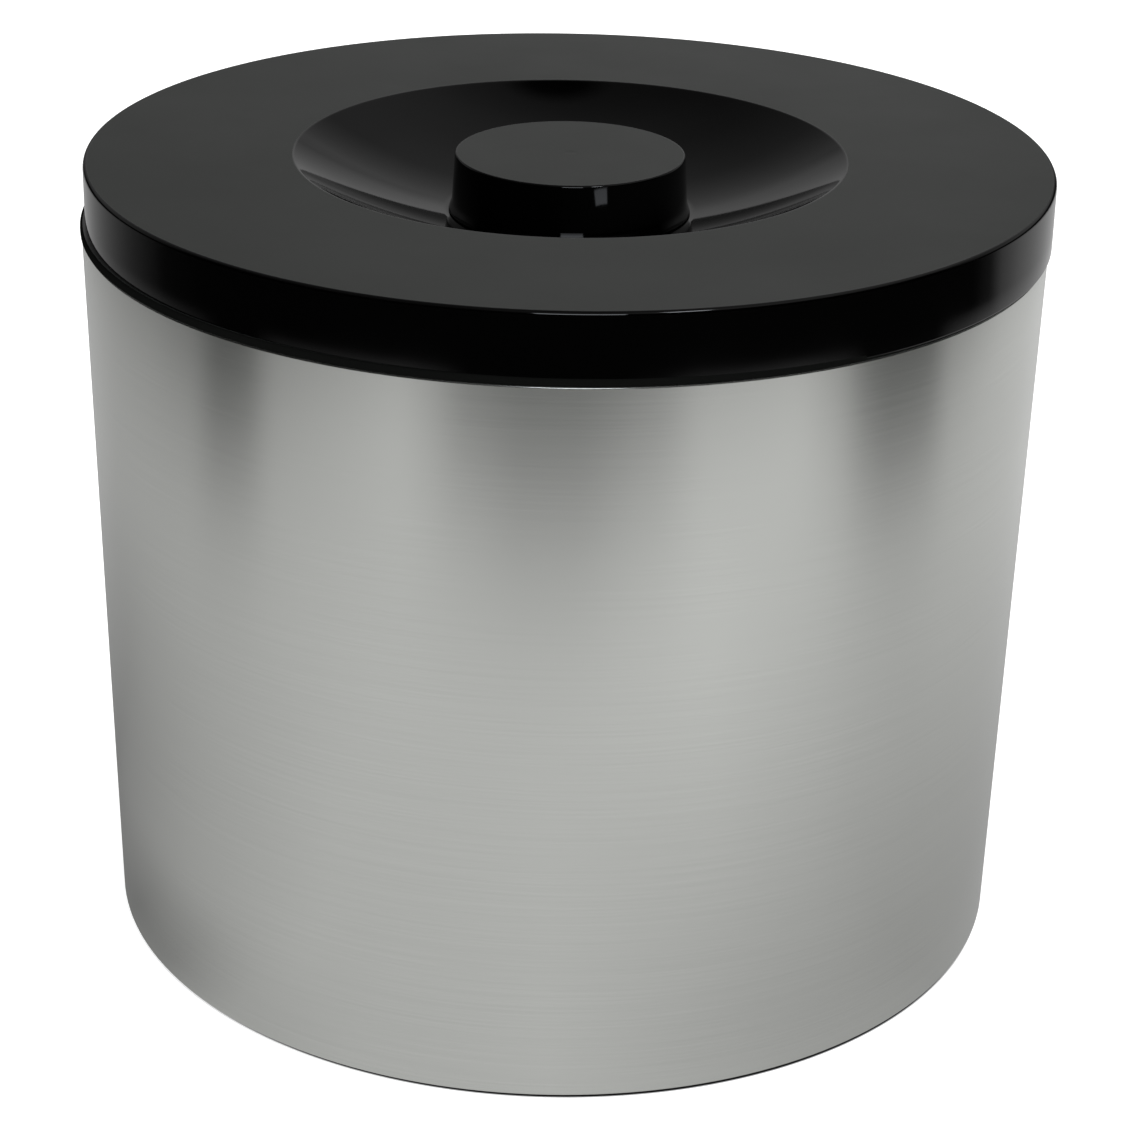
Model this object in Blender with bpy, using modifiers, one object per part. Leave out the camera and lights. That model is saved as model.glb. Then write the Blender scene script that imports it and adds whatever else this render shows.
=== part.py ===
"""Insulated bar ice bucket with a lift-off lid and a lift-out drainer.

The bucket is an aluminium drum around a moulded liner, with foam between them and a screwed base plate.
The lid is a moulded shell over a tray, with foam inside and a knob standing in a round dish.
Metres, +Z up. The origin is the middle of the foot ring, on the surface that the bucket stands on.
"""

import math

import bmesh
import bpy
import numpy as np

MM = 0.001

# Driving dimensions.
CASING_TOP_RADIUS = 146.0 * MM
CASING_FOOT_RADIUS = 141.9 * MM
CASING_TOP = 223.3 * MM
SHEET = 0.8 * MM                # aluminium sheet, and how far the foot ring lifts it
CASING_LIP = 6.0 * MM           # width of the turned-in bottom edge
LID_TOP = 244.1 * MM
LID_RADIUS = 145.9 * MM
LID_OFFSET = 1.0 * MM           # the loose lid rests this far off the bucket's axis, towards +X
RIM_RADIUS = 146.45 * MM
RIM_TOP = 225.8 * MM
RIM_THICKNESS = 2.2 * MM
MOUTH_RADIUS = 132.0 * MM
LINER_FOOT_RADIUS = 127.5 * MM  # inside, where the wall meets the floor's corner
LINER_FLOOR = 20.0 * MM
LINER_CORNER = 12.0 * MM
LINER_WALL = 2.5 * MM
DISH_RADIUS = 83.4 * MM
DISH_ARC = 159.0 * MM           # radius of the dish's curve
DISH_RIM_SLOPE = math.radians(30)
KNOB_TOP_RADIUS = 34.9 * MM
KNOB_WAIST_RADIUS = 35.8 * MM
KNOB_FOOT_RADIUS = 36.8 * MM
GAP = 0.3 * MM                  # between pieces that touch
FOAM_GAP = 0.4 * MM

# The base plate and its fixings.
PLATE_BOTTOM = 3.0 * MM
PLATE_TOP = 5.5 * MM
FOOT_RING_OUTER = 135.4 * MM
FOOT_RING_INNER = 129.5 * MM
BOSS_CIRCLE = 105.0 * MM
BOSS_RADIUS = 4.5 * MM
BASE_FOAM_RADIUS = 118.0 * MM
SCREW_COUNT = 4
SCREW_TIP_ROOM = 3.0 * MM       # from a screw's tip to the wall in front of it
SCREW_RADIUS = 1.7 * MM
SCREW_BORE = 2.0 * MM
SCREW_CLEARANCE_HOLE = 2.4 * MM
SCREW_HEAD_RADIUS = 3.8 * MM
SCREW_HEAD_HEIGHT = 1.9 * MM

# The lid's other sizes.
SHELL_WALL = 2.2 * MM
LID_EDGE = 1.2 * MM             # rounding of the lid's outer edge
TRAY_RADIUS = 129.4 * MM
TRAY_BOTTOM = 211.0 * MM
TRAY_WALL = 1.6 * MM
TRAY_CORNER = 3.0 * MM
KNOB_WALL = 2.5 * MM
KNOB_FLARE = 2.8 * MM           # height of the knob's flared foot
WASHER_RADIUS = 8.0 * MM
WASHER_THICKNESS = 1.0 * MM
FOAM_WELL = 14.0 * MM           # hole in the lid's foam around the knob's screw

# The drainer.
DRAINER_RADIUS = 124.5 * MM
DRAINER_BOTTOM = 28.0 * MM
DRAINER_THICKNESS = 2.0 * MM
DRAINER_LIP = 3.0 * MM
DRAINER_FEET = 6
DRAINER_FOOT_CIRCLE = 100.0 * MM
DRAINER_FOOT_RADIUS = 4.0 * MM
FINGER_HOLE = 13.0 * MM
DRAIN_HOLE = 3.5 * MM
DRAIN_RINGS = ((30.0 * MM, 6), (55.0 * MM, 12), (80.0 * MM, 18))

# Facets.
ROUND = 56
SMALL_ROUND = 24
HOLE_ROUND = 12
DRAIN_ROUND = 8
MERGE = 0.01 * MM
OVERLAP = 1.0 * MM              # how far joined shapes run into each other

# Levels that follow from the sizes above.
LID_BOTTOM = RIM_TOP + GAP
LINER_UNDERSIDE = LINER_FLOOR - LINER_WALL
DISH_ARC_CENTRE = DISH_RADIUS - DISH_ARC * math.sin(DISH_RIM_SLOPE)


def clear_scene():
    for old in list(bpy.data.objects):
        bpy.data.objects.remove(old, do_unlink=True)


def make_collection(name):
    collection = bpy.data.collections.new(name)
    bpy.context.scene.collection.children.link(collection)
    return collection


def make_material(name, colour, roughness, metallic=0.0):
    material = bpy.data.materials.new(name)
    material.use_nodes = True
    shader = material.node_tree.nodes["Principled BSDF"]
    shader.inputs["Base Color"].default_value = (*colour, 1.0)
    shader.inputs["Roughness"].default_value = roughness
    shader.inputs["Metallic"].default_value = metallic
    return material


def arc(centre_r, centre_z, radius, start, end, steps):
    """Points along an arc in the r-z plane, from one angle in degrees to another."""
    angles = np.radians(np.linspace(start, end, steps + 1))
    return [(centre_r + radius * math.cos(a), centre_z + radius * math.sin(a)) for a in angles]


def turned(name, profile, collection, material, sides=ROUND, ring=True, centre=(0.0, 0.0)):
    """A turned piece. A ring's profile is a closed loop; any other starts and ends on the axis."""
    points = [(r, 0.0, z) for r, z in profile]
    edges = [(i, i + 1) for i in range(len(points) - 1)]
    if ring:
        edges.append((len(points) - 1, 0))
    mesh = bpy.data.meshes.new(name)
    mesh.from_pydata(points, edges, [])
    piece = bpy.data.objects.new(name, mesh)
    piece.location = (centre[0], centre[1], 0.0)
    collection.objects.link(piece)
    mesh.materials.append(material)
    screw = piece.modifiers.new("turn", "SCREW")
    screw.axis = "Z"
    screw.angle = 2 * math.pi
    screw.steps = sides
    screw.render_steps = sides
    screw.use_merge_vertices = True
    screw.merge_threshold = MERGE
    screw.use_smooth_shade = True
    return piece


def cylinder(name, radius, bottom, top, collection, sides=SMALL_ROUND, centre=(0.0, 0.0)):
    bpy.ops.mesh.primitive_cylinder_add(
        vertices=sides,
        radius=radius,
        depth=top - bottom,
        location=(centre[0], centre[1], (top + bottom) / 2),
    )
    piece = bpy.context.object
    piece.name = name
    for owner in list(piece.users_collection):
        owner.objects.unlink(piece)
    collection.objects.link(piece)
    return piece


def circle_loop(radius, sides, centre=(0.0, 0.0)):
    angles = np.arange(sides) * 2 * math.pi / sides
    return [(centre[0] + radius * math.cos(a), centre[1] + radius * math.sin(a)) for a in angles]


def flat_plate(name, loops, bottom, thickness, collection, material):
    """A flat plate: the first loop is its outline, and the others are holes in it."""
    curve = bpy.data.curves.new(name, "CURVE")
    curve.dimensions = "2D"
    curve.fill_mode = "BOTH"
    curve.extrude = thickness / 2
    for loop in loops:
        spline = curve.splines.new("POLY")
        spline.points.add(len(loop) - 1)
        for point, (x, y) in zip(spline.points, loop):
            point.co = (x, y, 0.0, 1.0)
        spline.use_cyclic_u = True
    outline = bpy.data.objects.new(f"{name}_outline", curve)
    outline.location = (0.0, 0.0, bottom + thickness / 2)
    collection.objects.link(outline)
    bpy.context.view_layer.update()

    evaluated = outline.evaluated_get(bpy.context.evaluated_depsgraph_get())
    mesh = bpy.data.meshes.new_from_object(evaluated)
    welded = bmesh.new()
    welded.from_mesh(mesh)
    bmesh.ops.remove_doubles(welded, verts=welded.verts, dist=MERGE)
    welded.to_mesh(mesh)
    welded.free()
    mesh.materials.append(material)
    plate = bpy.data.objects.new(name, mesh)
    plate.matrix_world = outline.matrix_world.copy()
    collection.objects.link(plate)
    bpy.data.objects.remove(outline)
    return plate


def boolean(piece, tool, operation):
    tool.hide_render = True
    tool.display_type = "WIRE"
    modifier = piece.modifiers.new(tool.name, "BOOLEAN")
    modifier.object = tool
    modifier.operation = operation
    modifier.solver = "EXACT"


def on_circle(radius, count, index, turn=0.0):
    angle = 2 * math.pi * (index + turn) / count
    return radius * math.cos(angle), radius * math.sin(angle)


def casing_radius(z):
    """Outside radius of the tapered drum."""
    return CASING_FOOT_RADIUS + (CASING_TOP_RADIUS - CASING_FOOT_RADIUS) * z / CASING_TOP


def liner_radius(z):
    """Inside radius of the tapered liner wall."""
    corner_top = LINER_FLOOR + LINER_CORNER
    share = (z - corner_top) / (RIM_TOP - corner_top)
    return LINER_FOOT_RADIUS + (MOUTH_RADIUS - LINER_FOOT_RADIUS) * share


def dish_curve(offset, inner_radius, steps):
    """The dish from its rim to inner_radius, moved down by offset along its normal."""
    radius = DISH_ARC + offset
    arc_centre_z = LID_TOP + DISH_ARC * math.cos(DISH_RIM_SLOPE)
    end = math.asin((inner_radius - DISH_ARC_CENTRE) / radius)
    slopes = np.linspace(DISH_RIM_SLOPE, end, steps + 1)
    return [
        (DISH_ARC_CENTRE + radius * math.sin(s), arc_centre_z - radius * math.cos(s)) for s in slopes
    ]


def seat_level(offset=0.0):
    """Height of the flat seat under the knob, or of a surface the given offset below it."""
    return dish_curve(0.0, KNOB_FOOT_RADIUS, 1)[-1][1] - offset


def make_outer_casing(parts, metal):
    lip_inner = casing_radius(SHEET) - CASING_LIP
    profile = [
        (casing_radius(CASING_TOP), CASING_TOP),
        *arc(casing_radius(SHEET) - SHEET, 2 * SHEET, SHEET, 0, -90, 2),
        (lip_inner, SHEET),
        (lip_inner, 2 * SHEET),
        (casing_radius(2 * SHEET) - SHEET, 2 * SHEET),
        (casing_radius(CASING_TOP) - SHEET, CASING_TOP),
    ]
    return turned("outer_casing", profile, parts, metal)


def make_inner_liner(parts, tools, plastic):
    corner_r = LINER_FOOT_RADIUS - LINER_CORNER
    corner_z = LINER_FLOOR + LINER_CORNER
    flange_bottom = RIM_TOP - RIM_THICKNESS
    edge = LINER_WALL / 3
    profile = [
        (0.0, LINER_FLOOR),
        *arc(corner_r, corner_z, LINER_CORNER, -90, 0, 3),
        (MOUTH_RADIUS, RIM_TOP - edge),
        (MOUTH_RADIUS + edge, RIM_TOP),
        *arc(RIM_RADIUS - edge, RIM_TOP - edge, edge, 90, 0, 2),
        (RIM_RADIUS, flange_bottom),
        (liner_radius(flange_bottom) + LINER_WALL, flange_bottom),
        *arc(corner_r, corner_z, LINER_CORNER + LINER_WALL, 0, -90, 3),
        (0.0, LINER_UNDERSIDE),
    ]
    liner = turned("inner_liner", profile, parts, plastic, ring=False)
    for index in range(SCREW_COUNT):
        centre = on_circle(BOSS_CIRCLE, SCREW_COUNT, index, 0.5)
        boss = cylinder(
            f"boss_{index + 1}", BOSS_RADIUS, PLATE_TOP + GAP, LINER_UNDERSIDE + OVERLAP, tools,
            centre=centre,
        )
        boolean(liner, boss, "UNION")
        bore = cylinder(
            f"boss_bore_{index + 1}", SCREW_BORE, PLATE_BOTTOM, LINER_UNDERSIDE - OVERLAP, tools,
            HOLE_ROUND, centre,
        )
        boolean(liner, bore, "DIFFERENCE")
    return liner


def make_wall_insulation(parts, foam):
    bottom = PLATE_TOP + FOAM_GAP
    top = RIM_TOP - RIM_THICKNESS - FOAM_GAP
    outer_gap = SHEET + FOAM_GAP
    corner_r = LINER_FOOT_RADIUS - LINER_CORNER
    corner_z = LINER_FLOOR + LINER_CORNER
    corner = LINER_CORNER + LINER_WALL + FOAM_GAP
    inner_bottom = BASE_FOAM_RADIUS + FOAM_GAP
    start = -math.degrees(math.acos((inner_bottom - corner_r) / corner))
    profile = [
        (casing_radius(top) - outer_gap, top),
        (casing_radius(bottom) - outer_gap, bottom),
        (inner_bottom, bottom),
        *arc(corner_r, corner_z, corner, start, 0, 3),
        (liner_radius(top) + LINER_WALL + FOAM_GAP, top),
    ]
    return turned("wall_insulation", profile, parts, foam)


def make_base_insulation(parts, tools, foam):
    bottom = PLATE_TOP + FOAM_GAP
    top = LINER_UNDERSIDE - FOAM_GAP
    profile = [(0.0, top), (BASE_FOAM_RADIUS - OVERLAP, top), (BASE_FOAM_RADIUS, bottom), (0.0, bottom)]
    disc = turned("base_insulation", profile, parts, foam, ring=False)
    for index in range(SCREW_COUNT):
        centre = on_circle(BOSS_CIRCLE, SCREW_COUNT, index, 0.5)
        hole = cylinder(
            f"foam_hole_{index + 1}", BOSS_RADIUS + FOAM_GAP, bottom - OVERLAP, top + OVERLAP, tools,
            centre=centre,
        )
        boolean(disc, hole, "DIFFERENCE")
    return disc


def make_base_plate(parts, tools, plastic):
    edge_radius = casing_radius(PLATE_BOTTOM) - SHEET - GAP
    shoulder = 2 * SHEET + GAP
    profile = [
        (0.0, PLATE_TOP),
        (edge_radius, PLATE_TOP),
        (edge_radius, shoulder),
        (FOOT_RING_OUTER, shoulder),
        (FOOT_RING_OUTER, 0.0),
        (FOOT_RING_INNER, 0.0),
        (FOOT_RING_INNER, PLATE_BOTTOM),
        (0.0, PLATE_BOTTOM),
    ]
    plate = turned("base_plate", profile, parts, plastic, ring=False)
    for index in range(SCREW_COUNT):
        centre = on_circle(BOSS_CIRCLE, SCREW_COUNT, index, 0.5)
        hole = cylinder(
            f"plate_hole_{index + 1}", SCREW_CLEARANCE_HOLE, 0.0, PLATE_TOP + OVERLAP, tools,
            HOLE_ROUND, centre,
        )
        boolean(plate, hole, "DIFFERENCE")
    return plate


def make_screw(name, head_bottom, head_radius, head_height, tip, parts, metal, centre):
    """A pan-head screw that points up: its head is at the bottom."""
    head_top = head_bottom + head_height
    round_off = head_height / 2
    profile = [
        (0.0, tip),
        (SCREW_RADIUS / 2, tip),
        (SCREW_RADIUS, tip - SCREW_RADIUS),
        (SCREW_RADIUS, head_top),
        (head_radius, head_top),
        (head_radius, head_bottom + round_off),
        (head_radius - round_off, head_bottom),
        (0.0, head_bottom),
    ]
    return turned(name, profile, parts, metal, sides=HOLE_ROUND, ring=False, centre=centre)


def make_base_screws(parts, metal):
    head_bottom = PLATE_BOTTOM - GAP - SCREW_HEAD_HEIGHT
    tip = LINER_UNDERSIDE - SCREW_TIP_ROOM
    for index in range(SCREW_COUNT):
        centre = on_circle(BOSS_CIRCLE, SCREW_COUNT, index, 0.5)
        make_screw(
            f"base_screw_{index + 1}", head_bottom, SCREW_HEAD_RADIUS, SCREW_HEAD_HEIGHT, tip, parts,
            metal, centre,
        )


def make_lid_shell(parts, plastic):
    seat = seat_level()
    hole = SCREW_CLEARANCE_HOLE
    underside = LID_TOP - SHELL_WALL
    profile = [
        (hole, seat),
        *reversed(dish_curve(0.0, KNOB_FOOT_RADIUS, 6)),
        *arc(LID_RADIUS - LID_EDGE, LID_TOP - LID_EDGE, LID_EDGE, 90, 0, 2),
        (LID_RADIUS, LID_BOTTOM),
        (LID_RADIUS - SHELL_WALL, LID_BOTTOM),
        (LID_RADIUS - SHELL_WALL, underside),
        (DISH_RADIUS, underside),
        *dish_curve(SHELL_WALL, KNOB_FOOT_RADIUS, 4)[1:],
        (hole, seat - SHELL_WALL),
    ]
    return turned("lid_shell", profile, parts, plastic, centre=(LID_OFFSET, 0.0))


def make_lid_knob(parts, plastic):
    bottom = seat_level() + GAP
    edge = 0.6 * MM
    ceiling = LID_TOP - KNOB_WALL
    boss = SCREW_BORE + KNOB_WALL
    inner_foot = KNOB_WAIST_RADIUS - KNOB_WALL
    bore_top = ceiling - OVERLAP
    profile = [
        (0.0, LID_TOP),
        *arc(KNOB_TOP_RADIUS - edge, LID_TOP - edge, edge, 90, 0, 2),
        (KNOB_WAIST_RADIUS, bottom + KNOB_FLARE),
        (KNOB_FOOT_RADIUS, bottom),
        (inner_foot, bottom),
        (KNOB_TOP_RADIUS - KNOB_WALL, ceiling),
        (boss, ceiling),
        (boss, bottom),
        (SCREW_BORE, bottom),
        (SCREW_BORE, bore_top),
        (0.0, bore_top),
    ]
    return turned("lid_knob", profile, parts, plastic, ring=False, centre=(LID_OFFSET, 0.0))


def make_knob_fixing(parts, metal):
    washer_top = seat_level(SHELL_WALL + GAP)
    washer_bottom = washer_top - WASHER_THICKNESS
    washer = [
        (WASHER_RADIUS, washer_top),
        (WASHER_RADIUS, washer_bottom),
        (SCREW_BORE, washer_bottom),
        (SCREW_BORE, washer_top),
    ]
    lid_centre = (LID_OFFSET, 0.0)
    turned("knob_washer", washer, parts, metal, sides=SMALL_ROUND, centre=lid_centre)
    head_height = 1.5 * SCREW_HEAD_HEIGHT
    head_bottom = washer_bottom - GAP - head_height
    tip = LID_TOP - KNOB_WALL - SCREW_TIP_ROOM
    make_screw(
        "knob_screw", head_bottom, SCREW_HEAD_RADIUS, head_height, tip, parts, metal, lid_centre,
    )


def make_lid_inner_cover(parts, plastic):
    flange_radius = LID_RADIUS - SHELL_WALL - GAP
    inner_radius = TRAY_RADIUS - TRAY_WALL
    inner_corner = TRAY_CORNER - TRAY_WALL
    corner_r = TRAY_RADIUS - TRAY_CORNER
    corner_z = TRAY_BOTTOM + TRAY_CORNER
    profile = [
        (0.0, TRAY_BOTTOM + TRAY_WALL),
        *arc(corner_r, corner_z, inner_corner, -90, 0, 2),
        (inner_radius, LID_BOTTOM + TRAY_WALL),
        (flange_radius, LID_BOTTOM + TRAY_WALL),
        (flange_radius, LID_BOTTOM),
        (TRAY_RADIUS, LID_BOTTOM),
        *arc(corner_r, corner_z, TRAY_CORNER, 0, -90, 3),
        (0.0, TRAY_BOTTOM),
    ]
    return turned("lid_inner_cover", profile, parts, plastic, ring=False, centre=(LID_OFFSET, 0.0))


def make_lid_insulation(parts, foam):
    bottom = TRAY_BOTTOM + TRAY_WALL + FOAM_GAP
    top = LID_TOP - SHELL_WALL - FOAM_GAP
    radius = TRAY_RADIUS - TRAY_CORNER - FOAM_GAP
    profile = [
        (FOAM_WELL, seat_level(SHELL_WALL + 2 * FOAM_GAP)),
        *reversed(dish_curve(SHELL_WALL + FOAM_GAP, KNOB_FOOT_RADIUS, 4)[1:]),
        (DISH_RADIUS + OVERLAP, top),
        (radius, top),
        (radius, bottom),
        (FOAM_WELL, bottom),
    ]
    return turned("lid_insulation", profile, parts, foam, centre=(LID_OFFSET, 0.0))


def make_drainer(parts, tools, plastic):
    lip_radius = DRAINER_RADIUS - DRAINER_THICKNESS / 2
    loops = [
        circle_loop(lip_radius, ROUND),
        circle_loop(FINGER_HOLE, SMALL_ROUND),
    ]
    for ring, (radius, count) in enumerate(DRAIN_RINGS):
        stagger = (ring + 0.5) / len(DRAIN_RINGS)
        for index in range(count):
            centre = on_circle(radius, count, index, stagger)
            loops.append(circle_loop(DRAIN_HOLE, DRAIN_ROUND, centre))
    drainer = flat_plate("drainer", loops, DRAINER_BOTTOM, DRAINER_THICKNESS, parts, plastic)

    lip_top = DRAINER_BOTTOM + DRAINER_THICKNESS + DRAINER_LIP
    lip_bottom = DRAINER_BOTTOM - DRAINER_THICKNESS / 2
    lip_profile = [
        (DRAINER_RADIUS, lip_top),
        (DRAINER_RADIUS, lip_bottom),
        (DRAINER_RADIUS - DRAINER_THICKNESS, lip_bottom),
        (DRAINER_RADIUS - DRAINER_THICKNESS, lip_top),
    ]
    boolean(drainer, turned("drainer_lip", lip_profile, tools, plastic), "UNION")
    for index in range(DRAINER_FEET):
        foot = cylinder(
            f"drainer_foot_{index + 1}", DRAINER_FOOT_RADIUS, LINER_FLOOR + GAP,
            DRAINER_BOTTOM + DRAINER_THICKNESS / 2, tools, HOLE_ROUND,
            on_circle(DRAINER_FOOT_CIRCLE, DRAINER_FEET, index, 0.5),
        )
        boolean(drainer, foot, "UNION")
    return drainer


def main():
    clear_scene()
    parts = make_collection("ice_bucket")
    tools = make_collection("ice_bucket_cutters")
    aluminium = make_material("brushed_aluminium", (0.60, 0.61, 0.59), 0.32, 1.0)
    plastic = make_material("black_plastic", (0.012, 0.013, 0.012), 0.18)
    grey_plastic = make_material("drainer_plastic", (0.05, 0.05, 0.05), 0.4)
    foam = make_material("foam", (0.85, 0.85, 0.82), 0.9)
    steel = make_material("zinc_steel", (0.55, 0.55, 0.56), 0.35, 1.0)

    make_outer_casing(parts, aluminium)
    make_inner_liner(parts, tools, plastic)
    make_wall_insulation(parts, foam)
    make_base_insulation(parts, tools, foam)
    make_base_plate(parts, tools, plastic)
    make_base_screws(parts, steel)
    make_lid_shell(parts, plastic)
    make_lid_knob(parts, plastic)
    make_knob_fixing(parts, steel)
    make_lid_inner_cover(parts, plastic)
    make_lid_insulation(parts, foam)
    make_drainer(parts, tools, grey_plastic)


main()
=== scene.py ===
"""The ice bucket's looks: fine turned surfaces, plastic and metal finishes, a plain studio and the camera.

Metres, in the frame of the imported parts: +Z up, and the bucket stands on z = 0. Each piece is built on its
own axis of revolution, takes its sizes from the part it replaces and rides on that part's body.
"""

import math

import bmesh
import bpy
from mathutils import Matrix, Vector


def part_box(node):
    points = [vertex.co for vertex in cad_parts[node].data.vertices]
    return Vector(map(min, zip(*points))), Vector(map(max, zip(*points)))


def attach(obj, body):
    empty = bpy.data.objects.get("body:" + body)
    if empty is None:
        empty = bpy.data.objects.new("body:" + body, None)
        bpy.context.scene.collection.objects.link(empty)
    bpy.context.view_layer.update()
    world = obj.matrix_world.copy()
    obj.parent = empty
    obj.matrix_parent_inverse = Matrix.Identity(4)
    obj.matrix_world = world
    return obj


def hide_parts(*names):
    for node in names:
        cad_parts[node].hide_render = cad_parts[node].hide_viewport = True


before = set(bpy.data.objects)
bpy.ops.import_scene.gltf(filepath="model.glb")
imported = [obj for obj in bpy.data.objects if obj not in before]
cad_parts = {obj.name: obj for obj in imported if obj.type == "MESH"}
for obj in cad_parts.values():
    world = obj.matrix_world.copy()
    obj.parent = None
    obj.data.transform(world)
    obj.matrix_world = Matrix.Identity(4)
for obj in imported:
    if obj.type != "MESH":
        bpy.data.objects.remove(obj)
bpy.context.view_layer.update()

MM = 0.001

PLASTIC_IOR = 1.49
# The sockets of a Mix node that take and give colours; its other sockets have the same names.
MIX_COLOURS = (6, 7)
MIX_RESULT = 2

# Facets of the turned surfaces.
ROUND = 192
SMALL_ROUND = 64
HOLE_ROUND = 32
ARC_STEP = math.radians(11)
WELD = 0.002 * MM

# Sizes that the parts' boxes don't give.
CASING_WALL = 0.8 * MM
CASING_FOOT_RADIUS = 141.9 * MM
CASING_LIP = 6.0 * MM
LINER_WALL = 2.5 * MM
LINER_FOOT_RADIUS = 127.5 * MM
LINER_CORNER = 12.0 * MM
MOUTH_RADIUS = 132.0 * MM
RIM_THICKNESS = 2.2 * MM
RIM_WIDTH = 4.0 * MM             # of the matte plastic
LINER_CLEARANCE = 0.4 * MM       # over the foam in the base
GAP = 0.3 * MM
BOSS_CIRCLE = 105.0 * MM
BOSS_RADIUS = 4.5 * MM
SCREW_COUNT = 4
SCREW_BORE = 2.0 * MM
SCREW_CLEARANCE_HOLE = 2.4 * MM
SCREW_SHANK = 1.7 * MM
BASE_SCREW_HEAD = 1.9 * MM
KNOB_SCREW_HEAD = 2.85 * MM
CROSS_RECESS = (3.6 * MM, 0.9 * MM, 2.2 * MM)
FIRST_SCREW_TURN = 25            # degrees; the screws' recesses all stand differently
NEXT_SCREW_TURN = 40
FOOT_RING_OUTER = 135.4 * MM
FOOT_RING_INNER = 129.5 * MM
PLATE_UNDERSIDE = 3.0 * MM
SHELL_WALL = 2.2 * MM
TRAY_RADIUS = 129.4 * MM
TRAY_WALL = 1.6 * MM
DISH_RADIUS = 83.4 * MM
DISH_ARC = 159.0 * MM
DISH_RIM_SLOPE = math.radians(30)
DISH_STEPS = 28
KNOB_TOP_RADIUS = 34.9 * MM
KNOB_WAIST_RADIUS = 35.8 * MM
KNOB_WALL = 2.5 * MM
KNOB_FLARE = 2.8 * MM
GATE_MARK_RADIUS = 2.1 * MM
GATE_MARK_DEPTH = 0.06 * MM
DRAINER_THICKNESS = 2.0 * MM
DRAINER_FLOOR = 28.0 * MM
DRAINER_FEET = 6
DRAINER_FOOT_CIRCLE = 100.0 * MM
DRAINER_FOOT_RADIUS = 4.0 * MM
FINGER_HOLE = 13.0 * MM
DRAIN_HOLE = 3.5 * MM
DRAIN_RINGS = ((30.0 * MM, 6), (55.0 * MM, 12), (80.0 * MM, 18))

# Camera.
CAMERA_PLACE = (0.0, -0.9007, 0.5078)
CAMERA_TURN = (66.005, -1.093, 0.322)    # degrees about X, Y and Z
CAMERA_LENS = 97.714
SENSOR = 36.0

# Studio. The floor has a hole under the bucket, so that light reaches its underside for views from below.
FLOOR_RADIUS = 9.0
FLOOR_HOLE = FOOT_RING_OUTER + 0.2 * MM
FLOOR_GLOW = 0.50
SHEET_LIFT = 0.2 * MM
SHEET_RADIUS = 3.5
LIGHT_AIM = Vector((0.0, 0.0, 0.15))
BLUISH = (0.90, 0.94, 1.0)

# A painted shadow: the dark line where the bucket's foot meets the floor, a little stronger at the right of
# the front. It is painted into the floor's colour and glow, and into the glowing sheet that reflections see.
CONTACT_CENTRE = (0.50 * MM, -0.62 * MM, 0.0)
CONTACT_START = 140.2 * MM
CONTACT_END = 141.0 * MM
CONTACT_INSIDE = (138.2 * MM, 139.2 * MM)

# Painted reflection: the glow of the sheet that stands for the mirrored floor round the bucket, from the
# innermost ring outwards: azimuth in degrees (0 is the camera's side and 90 is +X) and level. The first
# ring, close to the foot, is dark on the left, painted shade near the foot. Further out, things in front and
# at both sides leave dark gaps, painted as dark reflections, and the last ring lies past the table's front
# edge.
FLOOR_RINGS = (
    ((-180, 0.40), (-145, 0.26), (-110, 0.19), (-90, 0.20), (-75, 0.19), (-60, 0.27), (-45, 0.46),
     (-25, 0.57), (0, 0.60), (30, 0.47), (60, 0.38), (180, 0.40)),
    ((-180, 0.40), (-145, 0.26), (-110, 0.19), (-70, 0.42), (-40, 0.57), (0, 0.60), (30, 0.47), (60, 0.38),
     (180, 0.40)),
    ((-180, 0.55), (-145, 0.47), (-120, 0.45), (-75, 0.60), (-45, 0.66), (0, 0.71), (30, 0.80), (75, 0.62),
     (145, 0.63), (180, 0.55)),
    ((-180, 0.55), (-145, 0.47), (-120, 0.45), (-86, 0.45), (-78, 0.15), (-70, 0.25), (-63, 0.60),
     (-33, 0.75), (-18, 0.70), (-8, 0.30), (4, 0.30), (14, 0.70), (30, 0.85), (60, 0.75), (72, 0.15),
     (82, 0.25), (92, 0.60), (145, 0.63), (180, 0.55)),
    ((-180, 0.52), (-145, 0.44), (-100, 0.42), (-86, 0.25), (-79, 0.0), (-69, 0.0), (-63, 0.50),
     (-45, 0.85), (-33, 1.15), (-26, 0.70), (-20, 0.05), (-12, 0.0), (12, 0.0), (20, 0.20), (28, 0.85),
     (50, 1.20), (60, 0.60), (66, 0.03), (86, 0.03), (92, 0.50), (104, 0.75), (145, 0.67), (180, 0.52)),
    ((-180, 0.45), (-143, 0.38), (-113, 0.11), (-98, 0.01), (-85, 0.0), (99, 0.0), (106, 0.05), (111, 0.25),
     (120, 0.38), (144, 0.52), (180, 0.45)),
)
# Radii, in metres, between which one ring turns into the next.
RING_CHANGES = ((0.148, 0.19), (0.17, 0.45), (0.49, 0.59), (0.58, 0.66), (0.70, 0.76))

# Brightness of the mirrored room, by direction on the unit sphere: across is x, back is y and height is z.
# Each list is of places and levels, and each change is (level, level, place, place).
BACKDROP = (
    (0.0, 0.24), (0.19, 0.28), (0.27, 0.29), (0.34, 0.23), (0.53, 0.14), (0.75, 0.05), (1.0, 0.0),
)
BACKDROP_START = (0.0, 1.0, 0.15, 0.55)          # over back: the room in front of the bucket is dark
BACKDROP_RIGHT = (0.75, 1.15, -0.25, 0.25)       # over across
BACKDROP_PEAK = (1.35, 1.0, 0.0, 0.25)           # over the distance across from its middle
PEAK_MIDDLE = 0.04
LOW_BACKDROP_SIDES = (1.0, 0.05, 0.15, 0.48)     # over the distance across from its middle
LOW_BACKDROP_MIDDLE = -0.06
LOW_BACKDROP_TOP = (0.0, 1.0, 0.18, 0.36)        # over height: above this the sides aren't darkened
CEILING_START = (0.0, 1.0, 0.55, 0.85)           # over height
CEILING_RIGHT = (0.07, 0.34, -0.3, 0.5)          # over across
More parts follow.
